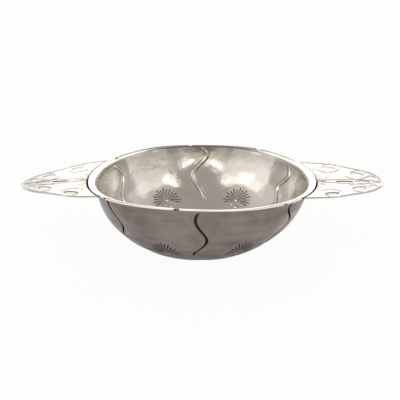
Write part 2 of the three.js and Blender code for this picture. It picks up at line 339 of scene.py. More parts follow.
def blend(tree, share, first, second):
    """A colour that goes from the first to the second by a share."""
    node = tree.nodes.new("ShaderNodeMix")
    node.data_type = "RGBA"
    tree.links.new(share.socket, node.inputs["Factor"])
    for name, colour in (("A", first), ("B", second)):
        if isinstance(colour, tuple):
            node.inputs[name].default_value = (*colour, 1.0)
        else:
            tree.links.new(colour, node.inputs[name])
    return node.outputs["Result"]


def bump(tree, height, strength, distance, under=None):
    """Fine relief on top of what is under it."""
    node = tree.nodes.new("ShaderNodeBump")
    node.inputs["Strength"].default_value = strength
    node.inputs["Distance"].default_value = distance
    tree.links.new(height.socket, node.inputs["Height"])
    if under:
        tree.links.new(under, node.inputs["Normal"])
    return node.outputs["Normal"]


# The eye of a fan is a round bead with two smaller ones below it, one to each side:
# how far each is to the side and up, and half its width
BEADS = [(0.0, 0.0, 0.0015), (0.0022, -0.0034, 0.0012), (-0.0012, -0.0052, 0.0009)]


def bead_edge(across, along):
    """How far a place is from the nearest bead's middle, 1 at the bead's edge."""
    nearest = None
    for side, up, width in BEADS:
        off_side = across - side
        off_up = along - up
        far = (off_side * off_side + off_up * off_up).do("SQRT") / width
        nearest = nearest.at_most(far) if nearest else far
    return nearest


# Its strokes stand this angle apart and lean over as far as FAN_LEAN. Each second one is shorter at
# both ends. They double their width on the way out, and dirt makes them broader on the outside.
STROKE_STEP = math.radians(15)
STROKE_REACH = 0.0107
STROKE_SHORTER = 0.0009
STROKE_BEGINS = 0.0018
STROKE_LATER = 0.0006
STROKE_HALF_WIDTH = 0.0002
FAN_LEAN = math.radians(114)
OUTSIDE_BREADTH = 1.5


def fan_strokes(across, along, breadth=1.0):
    """The strokes of a fan, 1 in the middle of each, spread from the eye towards the rim."""
    reach = (across * across + along * along).do("SQRT")
    lean = across.do("ARCTAN2", along)
    number = (lean / STROKE_STEP).do("ROUND")
    aside = (lean - number * STROKE_STEP).size() * reach
    odd = number.do("PINGPONG", 1.0)
    end = STROKE_REACH - odd * STROKE_SHORTER
    swell = reach.ease(0.002, 0.008) + 1.0
    middle = 1.0 - (aside / (swell * (STROKE_HALF_WIDTH * breadth))).ease(0.35, 1.0)
    start = odd * STROKE_LATER + STROKE_BEGINS
    begins = reach.ease(start, start + 0.0008)
    stops = 1.0 - reach.ease(end - 0.0012, end)
    inside = lean.size().do("LESS_THAN", FAN_LEAN)
    return middle * begins * stops * inside


# The dark colour of tarnish and of painted shade, and what it and clean silver do to a reflection at a
# low angle
TARNISH_AND_PAINTED_SHADE = (0.03, 0.024, 0.021)
TARNISH_AND_SHADE_AT_A_GLANCE = (0.1, 0.09, 0.085)
CLEAN_AT_A_GLANCE = (1.0, 1.0, 1.0)
# Noise scales and depths of what hammer, cloth and wear leave in the metal
CLOUD_SCALE = 38.0
RUB_SCALE = 150.0
DENT_SCALE = 150.0
DENT_DEPTH = 0.0004
SCRATCH_SCALE = 260.0
SCRATCH_STRETCH = (1.0, 14.0, 5.0)
SCRATCH_TURN = (0.3, 0.5, 0.7)
SCRATCH_DEPTH = 0.0001
CHASED_DEPTH = 0.0003
CHASED_STRENGTH = 0.8


def silver(name, bright, dark, gloss, grain, marks, tarnish_and_shade=None, relief=None, painted_light=None):
    """Silver: its tone drifts; a dark colour is mixed in, as tarnish where polishing cloths don't reach
    and as painted shade where a finish's mask puts it, and painted light can lift the tone.
    """
    finish = bpy.data.materials.new(name)
    finish.use_nodes = True
    tree = finish.node_tree
    metal = tree.nodes["Principled BSDF"]
    metal.inputs["Metallic"].default_value = 1.0
    place = on_piece(tree)

    tone_and_painted_light = patches(tree, place, CLOUD_SCALE, 5.0, 0.62).between(0.32, 0.7)
    if painted_light:
        tone_and_painted_light = painted_light(tree, tone_and_painted_light)
    colour = blend(tree, tone_and_painted_light, bright, dark)
    if tarnish_and_shade:
        share = tarnish_and_shade(tree)
        colour = blend(tree, share, colour, TARNISH_AND_PAINTED_SHADE)
        glancing = blend(tree, share, CLEAN_AT_A_GLANCE, TARNISH_AND_SHADE_AT_A_GLANCE)
        tree.links.new(glancing, metal.inputs["Specular Tint"])
    tree.links.new(colour, metal.inputs["Base Color"])

    rubbing_and_lit_ends = patches(tree, place, RUB_SCALE, 4.0).between(0.3, 0.72, *gloss)
    tree.links.new(rubbing_and_lit_ends.socket, metal.inputs["Roughness"])

    drawn_out = stretched(tree, place, SCRATCH_STRETCH, SCRATCH_TURN)
    surface = bump(tree, patches(tree, drawn_out, SCRATCH_SCALE, 3.0), grain, SCRATCH_DEPTH)
    surface = bump(tree, patches(tree, place, DENT_SCALE), marks, DENT_DEPTH, surface)
    if relief:
        surface = bump(tree, relief(tree), CHASED_STRENGTH, CHASED_DEPTH, surface)
    tree.links.new(surface, metal.inputs["Normal"])
    return finish


def close_to(tree, name, full, gone):
    """1 where the distance kept on the mesh is short, 0 where it is long."""
    return 1.0 - kept(tree, name).ease(full, gone)


# How strong the dark colour is in each place, as tarnish and as painted shade, and where dirt, streaks,
# painted shade and painted light begin and end
OUTSIDE_TARNISH_AND_SHADE = {"strokes": 0.95, "beads": 0.35, "low": 0.52, "streaks": 0.22}
INSIDE_TARNISH_AND_SHADE = {"ribs": 0.7, "strokes": 0.68, "fresh strokes": 0.3, "beads": 0.85, "painted shade under lip": 0.42}
LOW_SHADE_TOP = 0.032
STREAK_SCALE = 1.6
STREAK_STRETCH = (14.0, 14.0, 90.0)
WORN_SCALE = 240.0
LIP_SHADE = 0.13
FAR_WALL = (0.02, 0.045)
LIT_ENDS = (0.036, 0.058)


def outside_tarnish_and_shade(tree):
    """Outside, tarnish fills the ribs and strokes, and the tone is wiped in level streaks; painted shade
    darkens the wall towards the bottom.
    """
    across, along, near_fan = kept_place(tree, "fan_place")
    rib = close_to(tree, "rib_off", 0.3, 1.05) * kept(tree, "rib_ends")
    strokes = fan_strokes(across, along, OUTSIDE_BREADTH) * near_fan * OUTSIDE_TARNISH_AND_SHADE["strokes"]
    pits = (1.0 - bead_edge(across, along).ease(0.6, 1.1)) * near_fan * OUTSIDE_TARNISH_AND_SHADE["beads"]
    place = on_piece(tree)
    height = parted(tree, place)[2]
    # Painted shade: darker towards the bottom, standing in for the shadowed floor beneath that the wall
    # would mirror
    low = (1.0 - height.ease(0.0, LOW_SHADE_TOP)) * OUTSIDE_TARNISH_AND_SHADE["low"]
    wiped = patches(tree, stretched(tree, place, STREAK_STRETCH), STREAK_SCALE, 5.0, 0.65)
    streaks = wiped.ease(0.42, 0.72) * OUTSIDE_TARNISH_AND_SHADE["streaks"]
    return rib.at_least(strokes).at_least(pits).at_least(low + streaks)


def inside_tarnish_and_shade(tree):
    """Inside, tarnish lies in the strokes; the dark lines along the ribs' flanks and round the beads are
    tarnish and painted shade, and painted shade dims the wall under the far lip.
    """
    across, along, near_fan = kept_place(tree, "fan_place")
    # Tarnish and painted shade: dark outlines along both flanks of each ridge
    flank = kept(tree, "rib_off").ease(0.45, 0.68) * close_to(tree, "rib_off", 0.75, 1.1)
    ribs = flank * kept(tree, "rib_ends") * INSIDE_TARNISH_AND_SHADE["ribs"]
    place = on_piece(tree)
    fresh = patches(tree, place, WORN_SCALE).ease(0.3, 0.55) * INSIDE_TARNISH_AND_SHADE["fresh strokes"]
    strokes = fan_strokes(across, along) * near_fan * (fresh + INSIDE_TARNISH_AND_SHADE["strokes"])
    edge = bead_edge(across, along)
    # Tarnish and painted shade: a dark ring round each bead
    rings = edge.ease(0.75, 1.0) * (1.0 - edge.ease(1.05, 1.5)) * near_fan * INSIDE_TARNISH_AND_SHADE["beads"]
    # Painted shade: the far wall is darkened just under the lip
    far_side = parted(tree, place)[1].ease(*FAR_WALL)
    painted_lip_shade = close_to(tree, "depth", 0.0, LIP_SHADE) * far_side * INSIDE_TARNISH_AND_SHADE["painted shade under lip"]
    return ribs.at_least(strokes).at_least(rings).at_least(painted_lip_shade)


def painted_light_at_ends(tree, tone_and_painted_light):
    """Painted light: inside, the two ends are made lighter than the rest."""
    rubbing_and_lit_ends = parted(tree, on_piece(tree))[0].size().ease(*LIT_ENDS)
    return (tone_and_painted_light * 0.55 + 0.45) * (1.0 - rubbing_and_lit_ends)


def sunk_strokes(tree):
    """The strokes of the fans as fine grooves."""
    across, along, near_fan = kept_place(tree, "fan_place")
    return fan_strokes(across, along) * near_fan * -1.0


# Painted shade: the outside is the same silver as the inside but given a dark base colour, standing in
# for the dark surroundings it would mirror
shaded_outside_silver = silver(
    "shaded_outside_silver",
    bright=(0.3, 0.25, 0.226),
    dark=(0.197, 0.162, 0.145),
    gloss=(0.22, 0.36),
    grain=0.12,
    marks=0.12,
    tarnish_and_shade=outside_tarnish_and_shade,
    relief=sunk_strokes,
)
inside_silver = silver(
    "inside_silver",
    bright=(0.87, 0.845, 0.81),
    dark=(0.64, 0.608, 0.565),
    gloss=(0.12, 0.21),
    grain=0.1,
    marks=0.45,
    tarnish_and_shade=inside_tarnish_and_shade,
    relief=sunk_strokes,
    # Painted light: the two ends inside are lighter
    painted_light=painted_light_at_ends,
)

tree, keys, dial, finish_input = new_recipe("raised_bowl", bowl_sizes)
flat_sheet, around, path = unit_grid(tree, LOBES * COLUMNS_IN_LOBE, RINGS)

# Round the bowl, columns stand closer at the ribs and at the middle of each lobe
turn = around * LOBES
lobe = turn.do("FLOOR")
even = turn - lobe
share = even - (even * (4 * math.pi)).sin() * (COLUMN_CROWDING / (4 * math.pi))
straight = (lobe + share) * (2 * math.pi / LOBES) + FIRST_RIB

# Down the wall, rings stand closer at the lip and where the fans are; the last cross the flat base
on_wall = (path / WALL_PART).at_most(1.0) ** LIP_CROWDING
down = on_wall + (on_wall * (2 * math.pi)).sin() * (RING_CROWDING / (2 * math.pi))
base_share = 1.0 - (path - WALL_PART).at_least(0.0) / (1.0 - WALL_PART)

drop = (down * (math.pi / 2)).sin()
rise = 1.0 - drop
turned = (down * (math.pi / 2)).cos().at_least(0.0) ** dial["Wall Turn"]
spread = turned * (1.0 - dial["Wall Flare"]) + rise * dial["Wall Flare"]
half_length = dial["Base Half Length"] + (dial["Half Length"] - dial["Base Half Length"]) * spread
half_width = dial["Base Half Width"] + (dial["Half Width"] - dial["Base Half Width"]) * spread
wall_radius = plan_radius(dial, straight, half_length, half_width)
lobe_arc = wall_radius * (2 * math.pi / LOBES)

# The wavy rib swings the sheet sideways near it and leaves the middle of the lobe straight
from_middle = (share * 2.0 - 1.0).size()
rib_number = (turn + 0.5).do("FLOOR").do("FLOORED_MODULO", float(LOBES))
rib_drawn = [pick(rib_number, values) for values in zip(*RIBS_BY_HAND)]
start, rate, slowing, breadth, lean, length = rib_drawn
rib_end = dial["Rib End"] * length
half_waves = start + rate * down - slowing * down * down
wave = (half_waves * math.pi).sin() * breadth * dial["Rib Sway"]
swing = (lean - wave) * (1.0 - down.ease(rib_end, 1.0))
angle = straight + swing * from_middle * from_middle / wall_radius

# Each lobe bulges a little, and at the two ends the lip turns out to carry the broad rim
pillow = 1.0 - from_middle * from_middle
bulge = pillow * (down * math.pi).sin() * dial["Lobe Bulge"]
out_turned = 1.0 - (down * -1.0 / dial["Lip Down"]).do("EXPONENT")
lip = angle.cos().size().ease(0.0, dial["Broad From"]) * dial["Lip Flare"] * out_turned * (1.0 - down)
radius = (plan_radius(dial, angle, half_length, half_width) + bulge - lip) * base_share
rim_radius = plan_radius(dial, angle, dial["Half Length"], dial["Half Width"])
end_share = rim_radius * angle.cos() / dial["Half Length"]
sag = dial["End Dip"] * end_share * end_share + near_sag(dial, angle)
height = dial["Height"] * rise - sag * rise * rise
shape = point_at(tree, radius * angle.cos() - dial["Body Lean"] * drop, radius * angle.sin(), height)

# What is chased into each lobe: the rib at its edge, and the fan's shallow hollow and beads
rib_taper = 1.0 - down.ease(0.0, rib_end) * RIB_TAPER
rib_off = (1.0 - from_middle) * lobe_arc * 0.5 / (dial["Rib Width"] * rib_taper)
rib_ends = down.ease(0.0, RIB_STARTS_BY) * (1.0 - down.ease(rib_end * RIB_FADES_FROM, rib_end))
rib = (1.0 - rib_off.ease(RIB_FLAT, 1.0)) * rib_ends
fan_number = lobe.do("FLOORED_MODULO", float(LOBES))
fan_drawn = [pick(fan_number, values) for values in zip(*FANS_BY_HAND)]
fan_side, fan_down, fan_depth, fan_width, fan_height = fan_drawn
off_side = (share - 0.5) * lobe_arc - fan_side
off_up = (fan_down - down) * WALL_LENGTH
across = off_side / fan_width
along = off_up / fan_height
near_fan = 1.0 - from_middle.ease(*FAN_FADES)
sunk = 1.0 - (off_side * off_side + off_up * off_up).do("SQRT").ease(*FAN_HOLLOW)
edge = bead_edge(across, along)
beads = (1.0 - edge * edge).at_least(0.0)

push = rib * dial["Rib Height"] + sunk * fan_depth * dial["Fan Sink"] + beads * dial["Bead Height"]
sheet = store(tree, flat_sheet, "push", push.socket)
sheet = store(tree, sheet, "rib_off", rib_off.at_most(FAR_FROM_RIB).socket)
sheet = store(tree, sheet, "rib_ends", rib_ends.socket)
sheet = store(tree, sheet, "depth", down.socket)
sheet = store(tree, sheet, "fan_place", point_at(tree, across, along, near_fan), "FLOAT_VECTOR")
raised = bend_to(tree, sheet, shape)

# Chasing pushes the sheet in along its own normal; hammer work leaves it a little uneven
pushed = tree.nodes.new("GeometryNodeInputNamedAttribute")
pushed.data_type = "FLOAT"
pushed.inputs["Name"].default_value = "push"
here = tree.nodes.new("GeometryNodeInputPosition").outputs[0]
ripple = (patches(tree, here, HAMMER_SCALE, 1.5) - 0.5) * dial["Hammer Depth"] * 2.0
off_base = parted(tree, here)[2].ease(*ABOVE_BASE)
inward = Field(tree, pushed.outputs["Attribute"]) + ripple * off_base
normal = tree.nodes.new("GeometryNodeInputNormal")
move = tree.nodes.new("ShaderNodeVectorMath")
move.operation = "SCALE"
tree.links.new(normal.outputs[0], move.inputs[0])
tree.links.new((inward * -1.0).socket, move.inputs["Scale"])
chase = tree.nodes.new("GeometryNodeSetPosition")
tree.links.new(raised, chase.inputs["Geometry"])
tree.links.new(move.outputs[0], chase.inputs["Offset"])
end_recipe(tree, chase.outputs["Geometry"], finish_input)

bowl = make_piece("bowl", tree, keys, bowl_sizes, shaded_outside_silver, SHEET)

# Faces that look towards a place above the middle are on the inside
bowl.data.materials.append(inside_silver)
above_middle = Vector((0, 0, 0.06))
inside_faces = [face.normal.dot(above_middle - face.center) > 0 for face in bowl.data.polygons]
bowl.data.polygons.foreach_set("material_index", np.array(inside_faces, dtype=np.int32))
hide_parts("bowl_body")
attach(bowl, "root")


# The rim: a flat strip of silver bent to the oval and soldered on the edge of the sheet.
# It is broad at the two ends, where it carries the handles, and narrow along the sides.
# Its edges are rubbed round, and use has nicked it in places.
RIM_STEPS = 1080
RIM_SECTION = 40
SIDE_ROUNDING = 0.32
LEVEL_ROUNDING = 0.45
RIM_DIRT_AND_SHADE = {"nicks": 0.95, "far side": 0.72}
# Where each nick is, in degrees, and its share of the width and of the depth
RIM_NICKS = [
    (-148.7, 1.2, 1.0),
    (-103.8, 1.5, 1.5),
    (-39.7, 1.1, 1.0),
    (55.8, 1.0, 1.0),
    (98.9, 0.8, 1.0),
    (147.9, 0.8, 1.0),
]
SHARED = ("Half Length", "Half Width", "Height", "End Dip", "Near Sag", "Squareness", "Broad From")
rim_sizes = {size: bowl_sizes[size] for size in SHARED}
rim_sizes |= {
    "Sheet": SHEET,
    "End Overhang": 0.0036,
    "Side Overhang": 0.0006,
    "Thickness": 0.0008,
    "End Rise": 0.0006,
    "Nick Width": 0.0012,
    "Nick Depth": 0.001,
    "Waver": 0.00012,
}


def rim_dirt_and_shade(tree):
    """Dirt stays in the nicks, and the far side of the rim is painted darker as shade."""
    return kept(tree, "nick_dirt_and_far_shade")


rim_silver = silver(
    "rim_silver",
    bright=(0.95, 0.935, 0.905),
    dark=(0.89, 0.87, 0.835),
    gloss=(0.08, 0.16),
    grain=0.03,
    marks=0.02,
    tarnish_and_shade=rim_dirt_and_shade,
)
tree, keys, dial, finish_input = new_recipe("rim_strip", rim_sizes)
flat_sheet, around, path = unit_grid(tree, RIM_STEPS, RIM_SECTION)
angle = around * (2 * math.pi)
breadth = angle.cos().size().ease(0.0, dial["Broad From"])
edge_radius = plan_radius(dial, angle, dial["Half Length"], dial["Half Width"])
inner = plan_radius(dial, angle, dial["Half Length"] - dial["Sheet"], dial["Half Width"] - dial["Sheet"])
overhang = dial["Side Overhang"] + (dial["End Overhang"] - dial["Side Overhang"]) * breadth
nick = None
for degrees, width, depth in RIM_NICKS:
    turned = angle - math.radians(degrees)
    away = turned.sin().do("ARCTAN2", turned.cos()) * edge_radius / (dial["Nick Width"] * width)
    dent = (away * away * -1.0).do("EXPONENT") * depth
    nick = nick + dent if nick else dent
waver = ((angle * 7.0 + 1.0).sin() + (angle * 17.0).sin() * 0.6) * dial["Waver"]
outer = edge_radius + overhang - nick * dial["Nick Depth"] + waver * breadth
end_share = edge_radius * angle.cos() / dial["Half Length"]
seat = dial["Height"] - dial["End Dip"] * end_share * end_share - near_sag(dial, angle)

# The section is a flat oblong with rounded corners, followed once round
section_turn = path * (2 * math.pi)
side = section_turn.cos()
level = section_turn.sin() * -1.0
side = side.do("SIGN") * side.size() ** SIDE_ROUNDING
level = level.do("SIGN") * level.size() ** LEVEL_ROUNDING
out = (side + 1.0) * 0.5
up = (level + 1.0) * 0.5
strip_radius = inner + (outer - inner) * out
strip_height = seat + dial["Thickness"] * up + dial["End Rise"] * breadth * out * out
strip_height = strip_height - nick * out * dial["Nick Depth"] * 0.5
shape = point_at(tree, strip_radius * angle.cos(), strip_radius * angle.sin(), strip_height)
# Painted shade: the far side of the rim is darkened
far_side = angle.sin().ease(0.7, 0.9) * RIM_DIRT_AND_SHADE["far side"]
nick_dirt_and_far_shade = (nick * out.ease(0.3, 0.9) * RIM_DIRT_AND_SHADE["nicks"]).at_least(far_side)
sheet = store(tree, flat_sheet, "nick_dirt_and_far_shade", nick_dirt_and_far_shade.at_most(1.0).socket)
end_recipe(tree, bend_to(tree, sheet, shape), finish_input)
rim = make_piece("rim", tree, keys, rim_sizes, rim_silver)
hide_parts("rim_band")
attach(rim, "root")


# The two ear handles: castings from one pattern, a flat leaf pierced with eyes, tears and a slot.
# Scrolls wind round the eyes and twin stems pass the slot, in low relief. Each butts against
# the broad end of the rim, is soldered there, and leans down a little towards its tip.
HANDLE_REACH = 0.0448
HANDLE_HALF_WIDTH = 0.0346
HANDLE_THICKNESS = 0.0008
HANDLE_STEP = 0.00015
HANDLE_TUCK = 0.0003
HANDLE_WAIST = 0.0023
HANDLE_WAIST_AT = 0.023
HANDLE_WAIST_SPREAD = 0.01
HANDLE_MARGIN = 0.001
LEAF_FULLNESS = (1.8, 1.75)
LEFT_TWIST = 0.02
RIGHT_TWIST = 0.08
HANDLE_BORDER = 0.0013
HANDLE_GRAIN = 0.0003
EDGE_ROUND = 0.0004
RELIEF = 0.0006
RELIEF_RISE = 0.0003
RELIEF_STARTS = 0.002
STEM_FROM_RIM = 2.2 * RELIEF
STEM_SHORTER = 6 * RELIEF
STEM_OFF_MIDDLE = 0.8 * RELIEF
STEM_SPREAD = 0.0032
SCROLL_WIDE = 0.008
SCROLL_NARROW = 0.0058
MATTED_OUT = 0.009
MATTED_ASIDE = 0.022
PUNCH_SCALE = 800.0
HANDLED_SCALE = 120.0
LEFT_TILT = 0.088
RIGHT_TILT = 0.007


def oval(theta, half_length, half_width):
    """The bowl's squared oval again, for the castings."""
    squareness = bowl_sizes["Squareness"]
    along = np.abs(np.cos(theta) / half_length) ** squareness
    across = np.abs(np.sin(theta) / half_width) ** squareness
    return (along + across) ** (-1 / squareness)


def rim_edge(theta):
    """Outer edge of the rim: how far out it is, and the height of its upper face."""
    broad = np.clip(np.abs(np.cos(theta)) / rim_sizes["Broad From"], 0, 1)
    broad = broad * broad * (3 - 2 * broad)
    edge = oval(theta, bowl_sizes["Half Length"], bowl_sizes["Half Width"])
    narrow, wide = rim_sizes["Side Overhang"], rim_sizes["End Overhang"]
    dip = bowl_sizes["End Dip"] * (edge * np.cos(theta) / bowl_sizes["Half Length"]) ** 2
    top = bowl_sizes["Height"] - dip + rim_sizes["Thickness"] + rim_sizes["End Rise"] * broad
    return edge + narrow + (wide - narrow) * broad, top


# The root follows the outer edge of the rim, taken once as a row of points
root_theta = np.linspace(0, math.radians(40), 400)
root_radius, root_top = rim_edge(root_theta)
root_x = root_radius * np.cos(root_theta)
root_y = root_radius * np.sin(root_theta)
RIM_END = float(root_radius[0])
HANDLE_TIP = RIM_END + HANDLE_REACH
HANDLE_TOP = float(root_top[0]) - HANDLE_STEP
SHOULDER = float(np.interp(HANDLE_HALF_WIDTH, root_y, root_x))
SHOULDER_TOP = float(np.interp(HANDLE_HALF_WIDTH, root_y, root_top)) - HANDLE_STEP


def root_line(y):
    """How far out the root begins, tucked a little way in from the rim's edge."""
    return np.interp(np.abs(y), root_y, root_x) - HANDLE_TUCK


def handle_half_width(x, inset=0.0):
    """Half the width of the leaf, drawn in at its waist."""
    along = np.clip((x - SHOULDER) / (HANDLE_TIP - inset - SHOULDER), 0, 1)
    leaf = (HANDLE_HALF_WIDTH - inset) * (1 - along ** LEAF_FULLNESS[0]) ** (1 / LEAF_FULLNESS[1])
    off_waist = (x - RIM_END - HANDLE_WAIST_AT) / HANDLE_WAIST_SPREAD
    return leaf - HANDLE_WAIST * np.exp(-(off_waist ** 2))


def from_line(x, y, line):
    """Distance from points to a line of many short pieces."""
    nearest = np.full(x.shape, 1.0)
    for (ax, ay), (bx, by) in zip(line[:-1], line[1:]):
        dx, dy = bx - ax, by - ay
        t = np.clip(((x - ax) * dx + (y - ay) * dy) / max(dx * dx + dy * dy, 1e-12), 0, 1)
        nearest = np.minimum(nearest, np.hypot(x - ax - t * dx, y - ay - t * dy))
    return nearest


def from_oval(x, y, place, length, width, tilt):
    """Distance outside an oval piercing; the near-side twin comes from the size of y."""
    px, py = x - place[0], y - place[1]
    c, s = math.cos(tilt), math.sin(tilt)
    u, v = (px * c + py * s) / (length / 2), (py * c - px * s) / (width / 2)
    q = np.hypot(u, v) + 1e-9
    slope = np.hypot(u / (length / 2), v / (width / 2)) + 1e-9
    return q * (q - 1) / slope


def on_handle(out, off):
    """A place on the leaf, by shares of its reach and of its half width."""
    return (RIM_END + HANDLE_REACH * out, HANDLE_HALF_WIDTH * off)


def scroll(eye, start, sweep):
    """A scroll that winds in round its eye."""
    share = np.linspace(0, 1, 40)
    r = SCROLL_WIDE + (SCROLL_NARROW - SCROLL_WIDE) * share
    a = start + sweep * share
    return list(zip(eye[0] + r * np.cos(a), eye[1] + r * np.sin(a)))


# The two eyes, and the lines of the edge, the raised border, the stems and the root
ROOT_EYE = on_handle(0.21, 0.67)
TIP_EYE = on_handle(0.62, 0.335)
edge_share = np.sin(np.linspace(0, math.pi / 2, 90))
edge_x = SHOULDER + (HANDLE_TIP - SHOULDER) * edge_share
handle_edge = list(zip(edge_x, handle_half_width(edge_x)))
border_start = SHOULDER + 2 * RELIEF
border_x = border_start + (HANDLE_TIP - HANDLE_BORDER - border_start) * edge_share
border_line = list(zip(border_x, handle_half_width(border_x, HANDLE_BORDER)))
stem_share = np.linspace(0, 1, 30)
stem_x = RIM_END + STEM_FROM_RIM + (HANDLE_REACH - STEM_SHORTER) * stem_share
stem_line = list(zip(stem_x, STEM_OFF_MIDDLE + STEM_SPREAD * np.sin(math.pi * stem_share)))
at_root = root_y[::8] < HANDLE_HALF_WIDTH + HANDLE_MARGIN
root_edge = list(zip(root_x[::8][at_root] - HANDLE_TUCK, root_y[::8][at_root]))
# Place, length, width and tilt of each piercing
SLOT = (on_handle(0.42, 0), 0.011, 0.0018, 0.0)
MIDDLE_HOLE = (on_handle(0.68, 0), 0.0092, 0.0036, 0.0)
ROOT_EYE_HOLE = (ROOT_EYE, 0.0084, 0.0034, -0.35)
TIP_EYE_HOLE = (TIP_EYE, 0.0088, 0.0052, -0.45)
TEAR = (on_handle(0.83, 0.2), 0.0054, 0.0038, -0.75)


def from_holes(x, y):
    """Distance from the nearest piercing, negative inside it."""
    holes = (SLOT, MIDDLE_HOLE, ROOT_EYE_HOLE, TIP_EYE_HOLE, TEAR)
    return np.minimum.reduce([from_oval(x, np.abs(y), *hole) for hole in holes])


def handle_inside(x, y):
    """Distance in from the nearest edge or piercing, negative off the metal."""
    off_side = np.abs(y)
    off_edge = np.minimum(from_line(x, off_side, handle_edge), from_line(x, off_side, root_edge))
    outside = (off_side > handle_half_width(x)) | (x < root_line(y)) | (x > HANDLE_TIP)
    return np.minimum(np.where(outside, -off_edge, off_edge), from_holes(x, y))


def from_mouldings(x, y):
    """Distance from the middle of the nearest raised border, stem or scroll."""
    lines = (
        border_line,
        stem_line,
        scroll(ROOT_EYE, -2.6, 5.4),
        scroll(TIP_EYE, -2.9, 5.2),
    )
    return np.minimum.reduce([from_line(x, np.abs(y), line) for line in lines])


def punch_marks(tree):
    """Small round marks close together, on the ground by the root."""
    punch = tree.nodes.new("ShaderNodeTexVoronoi")
    punch.inputs["Scale"].default_value = PUNCH_SCALE
    tree.links.new(on_piece(tree), punch.inputs["Vector"])
    return (1.0 - Field(tree, punch.outputs["Distance"]).ease(0.1, 0.5)) * kept(tree, "matted")


def sunk_marks(tree):
    """The same marks, sunk as the punch leaves them."""
    return punch_marks(tree) * -1.0


HANDLE_DIRT_AND_SHADE = {
    "holes": 0.36,
    "slot": 0.85,
    "near eyes": 0.6,
    "near tip eyes": 0.4,
    "lighter far eyes": 0.4,
    "outline": 0.16,
    "feet of the relief": 0.06,
    "left tip": 0.2,
    "handled": 0.12,
    "punch marks": 0.3,
}


def handle_dirt_and_shade(tree):
    """Painted shade lies along the joint with the rim, most on the near side, round the piercings, in
    the slot and along the outline; dirt lies by the relief and in the punch marks.
    """
    place = on_piece(tree)
    x, y, _ = parted(tree, place)
    far = y.ease(-0.012, 0.02)
    near = 1.0 - far
    far_joint_lighter = x.ease(-0.01, 0.01) * 0.35 + 0.5
    # Painted shadow: a dark line along the joint, where the rim's edge shades the handle, strongest on
    # the near side
    joint_shadow = close_to(tree, "root_off", 0.001, 0.002) * (1.0 - far * far_joint_lighter)
    # Painted shade: dark edges round the piercings, in the slot, round the near eyes and along the
    # outline, lighter round the far eyes
    holes = close_to(tree, "hole_off", 0.00003, 0.00025) * HANDLE_DIRT_AND_SHADE["holes"]
    slot = close_to(tree, "slot_off", 0.0001, 0.0006) * HANDLE_DIRT_AND_SHADE["slot"]
    near_eyes = close_to(tree, "eye_off", 0.0001, 0.0018) * near * HANDLE_DIRT_AND_SHADE["near eyes"]
    tip_eyes = close_to(tree, "tip_eye_off", 0.0001, 0.0014) * near * HANDLE_DIRT_AND_SHADE["near tip eyes"]
    far_eyes = close_to(tree, "eye_off", 0.0004, 0.001) * far * HANDLE_DIRT_AND_SHADE["lighter far eyes"]
    outline = close_to(tree, "edge_off", 0.0001, 0.0004) * HANDLE_DIRT_AND_SHADE["outline"]
    moulding = kept(tree, "moulding_off") / RELIEF
    foot = moulding.ease(0.5, 0.9) * (1.0 - moulding.ease(1.0, 1.7))
    left_tip = (x * -1.0).ease(0.09, 0.118) * HANDLE_DIRT_AND_SHADE["left tip"]
    handled = patches(tree, place, HANDLED_SCALE, 3.0).ease(0.45, 0.75) * HANDLE_DIRT_AND_SHADE["handled"]
    marks = punch_marks(tree) * HANDLE_DIRT_AND_SHADE["punch marks"]
    tarnish_and_shade = foot * HANDLE_DIRT_AND_SHADE["feet of the relief"] + left_tip + handled
    for dirt in (joint_shadow, holes - far_eyes, slot, outline, near_eyes, tip_eyes, marks):
        tarnish_and_shade = tarnish_and_shade.at_least(dirt)
    return tarnish_and_shade


handle_silver = silver(
    "handle_silver",
    bright=(0.93, 0.915, 0.885),
    dark=(0.86, 0.842, 0.805),
    gloss=(0.16, 0.28),
    grain=0.05,
    marks=0.8,
    tarnish_and_shade=handle_dirt_and_shade,
    relief=sunk_marks,
)


def cut_pattern():
    """The flat leaf cut out of a grid: its points, which of them lie on an edge, and its faces."""
    half = HANDLE_HALF_WIDTH + HANDLE_MARGIN
    xs = np.arange(SHOULDER - HANDLE_MARGIN, HANDLE_TIP + HANDLE_MARGIN, HANDLE_GRAIN)
    ys = np.arange(-half, half, HANDLE_GRAIN)
    grid_x, grid_y = np.meshgrid(xs, ys, indexing="ij")
    depth = handle_inside(grid_x, grid_y)
    metal = depth > 0
    number, places, on_edge, faces = {}, [], [], []

    def numbered(key, place, is_edge):
        if key not in number:
            number[key] = len(places)
            places.append(place)
            on_edge.append(is_edge)
        return number[key]

    def corner_point(a):
        return numbered(a, (xs[a[0]], ys[a[1]]), False)

    def crossing_point(a, b):
        t = depth[a] / (depth[a] - depth[b])
        (ax, bx), (ay, by) = xs[[a[0], b[0]]], ys[[a[1], b[1]]]
        return numbered((min(a, b), max(a, b)), (ax + t * (bx - ax), ay + t * (by - ay)), True)

    any_metal = metal[:-1, :-1] | metal[1:, :-1] | metal[:-1, 1:] | metal[1:, 1:]
    for i, j in np.argwhere(any_metal):
        ring = [(i, j), (i + 1, j), (i + 1, j + 1), (i, j + 1)]
        outline = []
        for a, b in zip(ring, ring[1:] + ring[:1]):
            if metal[a]:
                outline.append(corner_point(a))
            if metal[a] != metal[b]:
                outline.append(crossing_point(a, b))
        if len(outline) > 2:
            faces.append(outline)
    return np.array(places), np.array(on_edge), faces


pattern, pattern_edge, pattern_faces = cut_pattern()


